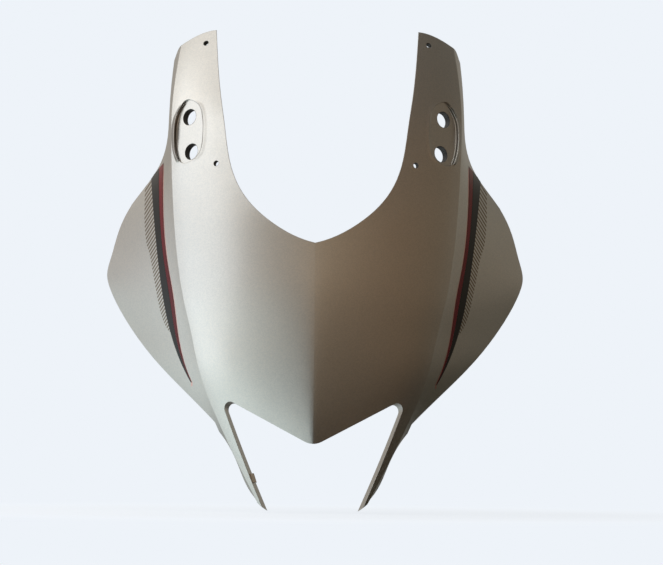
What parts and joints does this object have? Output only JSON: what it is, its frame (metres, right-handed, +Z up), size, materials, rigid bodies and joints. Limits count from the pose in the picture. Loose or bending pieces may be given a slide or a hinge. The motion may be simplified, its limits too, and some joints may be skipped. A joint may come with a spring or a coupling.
{
  "type": "motorcycle front fairing",
  "caption": "Silver nose cowl with a ridged shield, U-shaped windscreen notch, mirror recesses, side wings, two lower arms and side stripes.",
  "frame": {"origin": "midway between the four mirror holes, on the middle plane of the cowl", "axes": "+X to the cowl's right side as seen from the front, +Y from front to back, +Z up its length; mounted on a machine it leans back about 45 degrees about X"},
  "size_m": [0.4546, 0.163, 0.5234],
  "materials": {
    "silver_paint": "satin silver metallic paint on a moulded plastic",
    "black_film": "glossy decal film",
    "red_film": "glossy decal film"
  },
  "bodies": {
    "root": {"upper_cowl": "silver_paint", "left_black_stripe": "black_film", "right_black_stripe": "black_film", "left_red_stripe": "red_film", "right_red_stripe": "red_film"}
  },
  "joints": []
}
